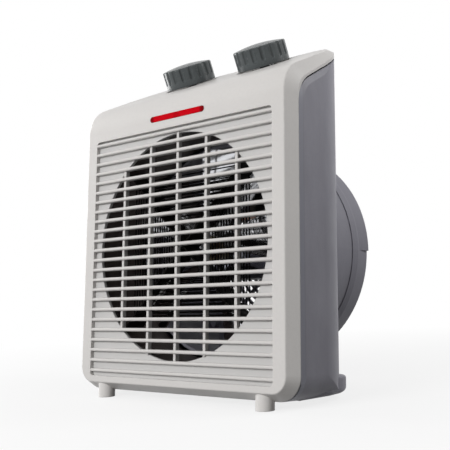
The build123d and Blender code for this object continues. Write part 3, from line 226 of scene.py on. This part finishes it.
def moulded(
    name, colour, rough, grain=1000.0, depth=0.00004, edge=0.0006, spread=0.06, shine=0.5, painted_shade=None
):
    """Moulded plastic with a fine grain, slow changes of shade and rubbed edges, and painted shade where
    masked.
    """
    shade = Shade(name)
    cloud = shade.vary(shade.noise(14.0, detail=3.0))
    base = shade.mix(cloud, tone(colour, 1.0 - spread), tone(colour, 1.0 + spread))
    base = shade.specks(base, colour, scale=grain * 0.35)
    # Painted shade where a mask for it is given
    if painted_shade:
        base = shade.mix(painted_shade(shade), base, PLATE_PAINTED_SHADE)
    gloss = shade.vary(shade.noise(40.0, detail=4.0), rough - 0.05, rough + 0.06)
    normal = shade.soft_edge(edge) if edge else None
    normal = shade.bump(shade.noise(grain, detail=3.0), depth, strength=0.6, normal=normal)
    shade.shine(shine)
    return shade.finish(base, gloss, normal=normal)


def recess_painted_shade(shade):
    """Mask of painted shade, one down on the plate behind the slats and less towards the front of the slats.
    """
    aside = shade.math("ABSOLUTE", shade.across())
    up = shade.math("ABSOLUTE", shade.along(RECESS_CENTRE, UP_AXIS))
    deep = shade.span(shade.along(RECESS_CENTRE, BACK_AXIS), (SLAT_NOSE, RECESS_DEPTH))
    deep = shade.math("MULTIPLY", deep, shade.math("LESS_THAN", aside, RECESS_HALF_W))
    return shade.math("MULTIPLY", deep, shade.math("LESS_THAN", up, RECESS_HALF_H))


def bare_metal(name, colour, rough, stretch, scratch=900.0, depth=0.00004, tint=None, edge=0.0003):
    """Bare metal with drawn scratches along one direction and a faint stain."""
    shade = Shade(name)
    lines = shade.noise(scratch, detail=4.0, rough=0.6, stretch=stretch)
    stain = shade.span(shade.noise(22.0, detail=4.0, rough=0.6), (0.4, 0.75), (0.0, 0.8))
    base = shade.mix(stain, colour, tint or tone(colour, 0.8))
    gloss = shade.span(lines, (0.25, 0.75), (rough - 0.06, rough + 0.1))
    normal = shade.soft_edge(edge) if edge else None
    normal = shade.bump(lines, depth, strength=0.5, normal=normal)
    return shade.finish(base, gloss, metal=1.0, normal=normal)


def housing_material():
    """Grey moulding with a painted highlight on the lip beside the seam, faintly streaked up and down."""
    shade = Shade("housing_grey")
    cloud = shade.vary(shade.noise(34.0, detail=4.0, rough=0.6, stretch=(1.0, 1.0, 0.35)))
    base = shade.mix(cloud, tone(GREY, 0.88), tone(GREY, 1.13))
    base = shade.specks(base, GREY, scale=400.0)
    back = shade.along(OUTLET_CENTRE, BACK_AXIS)
    # Painted highlight on the lip beside the seam, fading out behind it
    lip_highlight = shade.span(back, (SEAM_BACK + LIP_WIDTH, SEAM_BACK + LIP_WIDTH * LIP_FADE), (0.8, 0.0))
    base = shade.mix(lip_highlight, base, LIP_PAINTED_HIGHLIGHT)
    gloss = shade.vary(shade.noise(40.0, detail=4.0), 0.42, 0.54)
    edge = shade.soft_edge(0.0008)
    normal = shade.bump(shade.noise(1100.0, detail=3.0), 0.00008, strength=0.6, normal=edge)
    shade.shine(0.25)
    return shade.finish(base, gloss, normal=normal)


def knob_material(name):
    """Dark glossy moulding with fine turned rings on the crown and painted shade at the foot."""
    shade = Shade(name)
    centre = KNOB_CENTRES[name]
    height = shade.along(centre, KNOB_AXIS)
    rings = shade.wave(shade.ring_distance(centre, KNOB_AXIS), KNOB_RING_PITCH)
    rings = shade.math("MULTIPLY", rings, shade.span(height, KNOB_CROWN))
    cloud = shade.vary(shade.noise(60.0, detail=4.0))
    base = shade.mix(cloud, tone(KNOB_GREY, 0.9), tone(KNOB_GREY, 1.12))
    # Painted shade at the foot of the knob, where it stands in its dish
    base = shade.mix(shade.span(height, KNOB_FOOT, (0.35, 0.0)), base, tone(KNOB_GREY, 0.6))
    gloss = shade.vary(shade.noise(180.0, detail=3.0), 0.20, 0.30)
    normal = shade.bump(shade.noise(1500.0), 0.00002, strength=0.5, normal=shade.soft_edge(0.0005))
    normal = shade.bump(rings, 0.00003, strength=0.8, normal=normal)
    shade.shine(0.22)
    return shade.finish(base, gloss, normal=normal)


def lens_material():
    """Clear red lens, darker where the lamp's ends and its holder lie behind it."""
    shade = Shade("lens_red")
    aside = shade.math("ABSOLUTE", shade.across())
    ends = shade.span(aside, LENS_ENDS)
    middle = shade.span(aside, LENS_MIDDLE, (0.3, 0.0))
    streak = shade.noise(120.0, detail=3.0, stretch=(1.0, 1.0, 5.0))
    streak = shade.span(streak, (0.35, 0.7), (0.0, 0.6))
    base = shade.mix(streak, (0.56, 0.001, 0.007), (0.64, 0.002, 0.011))
    base = shade.mix(shade.math("MAXIMUM", ends, middle), base, (0.22, 0.001, 0.004))
    gloss = shade.vary(shade.noise(90.0), 0.14, 0.24)
    shade.shine(0.03)
    return shade.finish(base, gloss, normal=shade.soft_edge(0.0005))


def glass_material():
    """Clear glass with a faint warm film."""
    shade = Shade("lamp_glass")
    film = shade.vary(shade.noise(160.0, detail=3.0))
    base = shade.mix(film, (0.95, 0.86, 0.78), (0.90, 0.72, 0.58))
    gloss = shade.span(film, (0.0, 1.0), (0.03, 0.1))
    shade.bsdf.inputs["Transmission Weight"].default_value = 0.85
    shade.bsdf.inputs["IOR"].default_value = 1.5
    return shade.finish(base, gloss)


def duct_material():
    """Sheet steel with rolling marks round the duct, browned where the element heats it."""
    shade = Shade("duct_steel")
    marks = shade.marks(shade.along(OUTLET_CENTRE, BACK_AXIS), per_metre=700.0, detail=4.0)
    heat = shade.vary(shade.noise(18.0, detail=4.0))
    base = shade.mix(heat, (0.100, 0.080, 0.072), (0.130, 0.100, 0.090))
    gloss = shade.vary(marks, 0.36, 0.55)
    return shade.finish(base, gloss, metal=0.3, normal=shade.bump(marks, 0.00006, strength=0.5))


def fan_material():
    """Bright rolled aluminium with scratches round the shaft."""
    shade = Shade("fan_aluminium")
    marks = shade.marks(shade.ring_distance(OUTLET_CENTRE, BACK_AXIS), per_metre=1500.0, detail=3.0)
    smear = shade.span(shade.noise(30.0, detail=4.0), (0.3, 0.75))
    base = shade.mix(smear, (0.80, 0.81, 0.84), (0.66, 0.67, 0.70))
    gloss = shade.vary(marks, 0.08, 0.16)
    return shade.finish(base, gloss, metal=1.0, normal=shade.bump(marks, 0.00001, strength=0.4))


def mica_material():
    """Flaky mica sheet with fine specks, coloured nearly black as painted shade inside the duct."""
    shade = Shade("mica")
    cells = shade.add("ShaderNodeTexVoronoi")
    shade.link(shade.where, cells.inputs["Vector"])
    cells.inputs["Scale"].default_value = 260.0
    flake = cells.outputs["Distance"]
    # Nearly black colours: painted shade over the mica inside the duct
    base = shade.mix(shade.span(flake, (0.0, 0.7)), (0.018, 0.016, 0.014), (0.010, 0.009, 0.008))
    speck = shade.span(shade.noise(900.0), (0.6, 0.75), (0.0, 0.7))
    base = shade.mix(speck, base, (0.012, 0.010, 0.009))
    gloss = shade.span(flake, (0.0, 0.6), (0.3, 0.55))
    shade.shine(0.15)
    return shade.finish(base, gloss, normal=shade.bump(flake, 0.0001, strength=0.4))


def laminated_material():
    """Stacked steel sheets, with a fine line at each sheet."""
    shade = Shade("core_steel")
    sheets = shade.wave(shade.along(OUTLET_CENTRE, BACK_AXIS), SHEET_PITCH)
    base = shade.mix(shade.span(sheets, WAVE_RANGE), (0.10, 0.10, 0.105), (0.20, 0.20, 0.21))
    rust = shade.span(shade.noise(60.0, detail=4.0), (0.6, 0.75), (0.0, 0.5))
    base = shade.mix(rust, base, (0.16, 0.08, 0.04))
    gloss = shade.span(sheets, WAVE_RANGE, (0.5, 0.38))
    return shade.finish(base, gloss, metal=0.8, normal=shade.bump(sheets, 0.00008, strength=0.6))


def winding_material():
    """Enamelled copper, wound turn by turn across the bobbin."""
    shade = Shade("copper")
    turns = shade.wave(shade.across(), TURN_PITCH)
    base = shade.mix(shade.span(turns, WAVE_RANGE), (0.22, 0.065, 0.02), (0.60, 0.23, 0.08))
    gloss = shade.span(turns, WAVE_RANGE, (0.45, 0.25))
    return shade.finish(base, gloss, metal=0.9, normal=shade.bump(turns, 0.0002, strength=0.8))


# One look for each material slot of the record
PLASTICS = {
    # The cover has painted shade on the plate sunk behind the slats
    "cover_white": dict(colour=WHITE, rough=0.40, grain=1400.0, edge=0.0008, spread=0.02, painted_shade=recess_painted_shade),
    "grille_grey": dict(
        colour=tone(GREY, 1.05), rough=0.46, grain=1100.0, depth=0.00007, edge=0.0003, spread=0.04, shine=0.2
    ),
    "foot_white": dict(colour=tone(WHITE, 1.10), rough=0.42, grain=1200.0, spread=0.03),
    "holder_plastic": dict(colour=(0.60, 0.58, 0.53), rough=0.42),
    "shaft_black": dict(colour=(0.012, 0.012, 0.013), rough=0.34, grain=1200.0, depth=0.00003),
    "control_black": dict(colour=(0.022, 0.021, 0.022), rough=0.42, depth=0.00005),
    "cutout_black": dict(colour=(0.025, 0.024, 0.023), rough=0.38),
    "bobbin_plastic": dict(colour=(0.66, 0.63, 0.55), rough=0.42),
    "gland_black": dict(colour=(0.018, 0.018, 0.019), rough=0.40, depth=0.00005),
    "block_white": dict(colour=(0.66, 0.66, 0.63), rough=0.40),
    "lead_white": dict(colour=(0.58, 0.56, 0.52), rough=0.55, grain=1800.0, depth=0.00005, edge=0.0),
    "lead_brown": dict(colour=(0.060, 0.026, 0.012), rough=0.5, grain=1800.0, depth=0.00005, edge=0.0),
}
METALS = {
    "bimetal": dict(colour=(0.52, 0.46, 0.36), rough=0.34, stretch=(1.0, 9.0, 9.0), tint=(0.44, 0.33, 0.20)),
    "screw_steel": dict(colour=(0.56, 0.56, 0.57), rough=0.32, stretch=(3.0, 1.0, 3.0)),
    # The wire is coloured nearly black as painted shade inside the duct
    "wire": dict(
        colour=(0.010, 0.009, 0.009),
        rough=0.40,
        stretch=(1.0, 1.0, 1.0),
        tint=(0.006, 0.005, 0.005),
        edge=0.0,
    ),
    "terminal": dict(colour=(0.66, 0.66, 0.65), rough=0.28, stretch=(1.0, 6.0, 1.0)),
    "fuse": dict(colour=(0.74, 0.74, 0.73), rough=0.30, stretch=(4.0, 1.0, 4.0)),
    "brass": dict(
        colour=(0.16, 0.125, 0.075), rough=0.34, stretch=(1.0, 12.0, 1.0), tint=(0.09, 0.065, 0.04)
    ),
    "steel": dict(colour=(0.55, 0.55, 0.57), rough=0.26, stretch=(1.0, 10.0, 1.0)),
    "bracket_alloy": dict(
        colour=(0.50, 0.50, 0.50), rough=0.45, stretch=(1.0, 1.0, 1.0), scratch=500.0, depth=0.0001
    ),
}
LOOKS = {
    "housing_grey": housing_material(),
    "lens_red": lens_material(),
    "lamp_glass": glass_material(),
    "duct_steel": duct_material(),
    "fan_aluminium": fan_material(),
    "mica": mica_material(),
    "core_steel": laminated_material(),
    "copper": winding_material(),
}
for slot, values in PLASTICS.items():
    LOOKS[slot] = moulded(slot, **values)
for slot, values in METALS.items():
    LOOKS[slot] = bare_metal(slot, **values)

# The knobs have a look each, because the rings follow their own centres
SLOT_OF = {entry["node"]: entry["material_slot"] for entry in frame["record"]["subparts"]}
for name, thing in nodes.items():
    look = knob_material(name) if name in KNOB_CENTRES else LOOKS[SLOT_OF[name]]
    thing.data.materials.clear()
    thing.data.materials.append(look)


# Floor, backdrop, light and camera
FLOOR_REACH = 6.0
FLOOR_SHADES = ((0.80, 0.80, 0.80), (0.84, 0.84, 0.84))
FLOOR_BOUNCE = (0.07, 0.07, 0.07)
FLOOR_FADE = (0.15, 0.70)
FLOOR_FADE_WHITE = (0.80, 1.0)
PURE_WHITE = (1.0, 1.0, 1.0, 1.0)
WORLD_COLOUR = (1.0, 0.99, 0.98, 1.0)
WORLD_STRENGTH = 0.12
CAMERA_SENSOR = 36.0
CAMERA_LENS = 64.19
CAMERA_SHIFT = (-0.0120, -0.0612)
CAMERA_NEAR = 0.01
CAMERA_PLACE = (0.42357, -0.49520, 0.08779)
CAMERA_TURN = (
    (0.757893, 0.100850, 0.644536),
    (0.650802, -0.048235, -0.757714),
    (-0.045327, 0.993732, -0.102191),
)


def put(name, data):
    """Adds an object to the scene."""
    thing = bpy.data.objects.new(name, data)
    bpy.context.scene.collection.objects.link(thing)
    return thing


def seen_ray(tree):
    """One for the rays that show the backdrop: straight, mirrored or through glass."""
    path = tree.nodes.new("ShaderNodeLightPath")
    total = path.outputs["Is Camera Ray"]
    for name in ("Is Glossy Ray", "Is Transmission Ray"):
        either = tree.nodes.new("ShaderNodeMath")
        either.operation = "MAXIMUM"
        tree.links.new(total, either.inputs[0])
        tree.links.new(path.outputs[name], either.inputs[1])
        total = either.outputs[0]
    return total


def floor_material():
    """Pale floor that keeps the shadow near the object and fades into the white backdrop."""
    shade = Shade("floor_pale")
    base = shade.mix(shade.vary(shade.noise(3.0, detail=3.0)), *FLOOR_SHADES)
    seen = seen_ray(shade.tree)
    shade.finish(shade.mix(seen, FLOOR_BOUNCE, base), 0.7)
    white = shade.add("ShaderNodeEmission")
    white.inputs["Color"].default_value = PURE_WHITE
    white.inputs["Strength"].default_value = 1.0
    far = shade.span(shade.vector("LENGTH", shade.where, out=1), FLOOR_FADE, FLOOR_FADE_WHITE)
    blend = shade.add("ShaderNodeMixShader")
    shade.give(blend.inputs[0], shade.math("MULTIPLY", far, seen))
    shade.link(shade.bsdf.outputs[0], blend.inputs[1])
    shade.link(white.outputs[0], blend.inputs[2])
    shade.link(blend.outputs[0], shade.out.inputs["Surface"])
    return shade.material


def make_floor():
    mesh = bpy.data.meshes.new("floor")
    low, high = -FLOOR_REACH, FLOOR_REACH
    mesh.from_pydata([(low, low, 0), (high, low, 0), (high, high, 0), (low, high, 0)], [], [(0, 1, 2, 3)])
    mesh.materials.append(floor_material())
    thing = put("floor", mesh)


def make_world():
    world = bpy.data.worlds.new("studio")
    world.use_nodes = True
    tree = world.node_tree
    tree.nodes.clear()
    out = tree.nodes.new("ShaderNodeOutputWorld")
    seen = tree.nodes.new("ShaderNodeBackground")
    seen.inputs["Color"].default_value = PURE_WHITE
    seen.inputs["Strength"].default_value = 1.0
    lit = tree.nodes.new("ShaderNodeBackground")
    lit.inputs["Color"].default_value = WORLD_COLOUR
    lit.inputs["Strength"].default_value = WORLD_STRENGTH
    mix = tree.nodes.new("ShaderNodeMixShader")
    tree.links.new(seen_ray(tree), mix.inputs[0])
    tree.links.new(lit.outputs[0], mix.inputs[1])
    tree.links.new(seen.outputs[0], mix.inputs[2])
    tree.links.new(mix.outputs[0], out.inputs["Surface"])
    bpy.context.scene.world = world


def area_light(name, place, target, size, power, mirrored=True):
    """Round soft lamp, which mirror reflections may leave out."""
    data = bpy.data.lights.new(name, "AREA")
    data.shape = "DISK"
    data.size = size
    data.energy = power
    thing = put(name, data)
    thing.location = place
    thing.rotation_euler = (Vector(target) - Vector(place)).to_track_quat("-Z", "Y").to_euler()
    thing.visible_camera = False
    thing.visible_glossy = mirrored


def make_camera():
    data = bpy.data.cameras.new("photo_camera")
    data.sensor_width = CAMERA_SENSOR
    data.lens = CAMERA_LENS
    data.shift_x, data.shift_y = CAMERA_SHIFT
    data.clip_start = CAMERA_NEAR
    thing = put("photo_camera", data)
    thing.matrix_world = Matrix.Translation(CAMERA_PLACE) @ Matrix(CAMERA_TURN).to_4x4()
    bpy.context.scene.camera = thing


make_floor()
make_world()
area_light("key", (-0.16, -1.55, 0.66), (0.0, 0.0, 0.13), size=0.9, power=21.8, mirrored=False)
area_light("left", (-1.40, 0.0, 0.42), (0.0, 0.0, 0.20), size=1.1, power=13.5)
area_light("fill", (0.43, 0.20, 0.46), (0.10, 0.02, 0.18), size=0.25, power=1.2)
make_camera()
bpy.context.scene.view_settings.view_transform = "Standard"
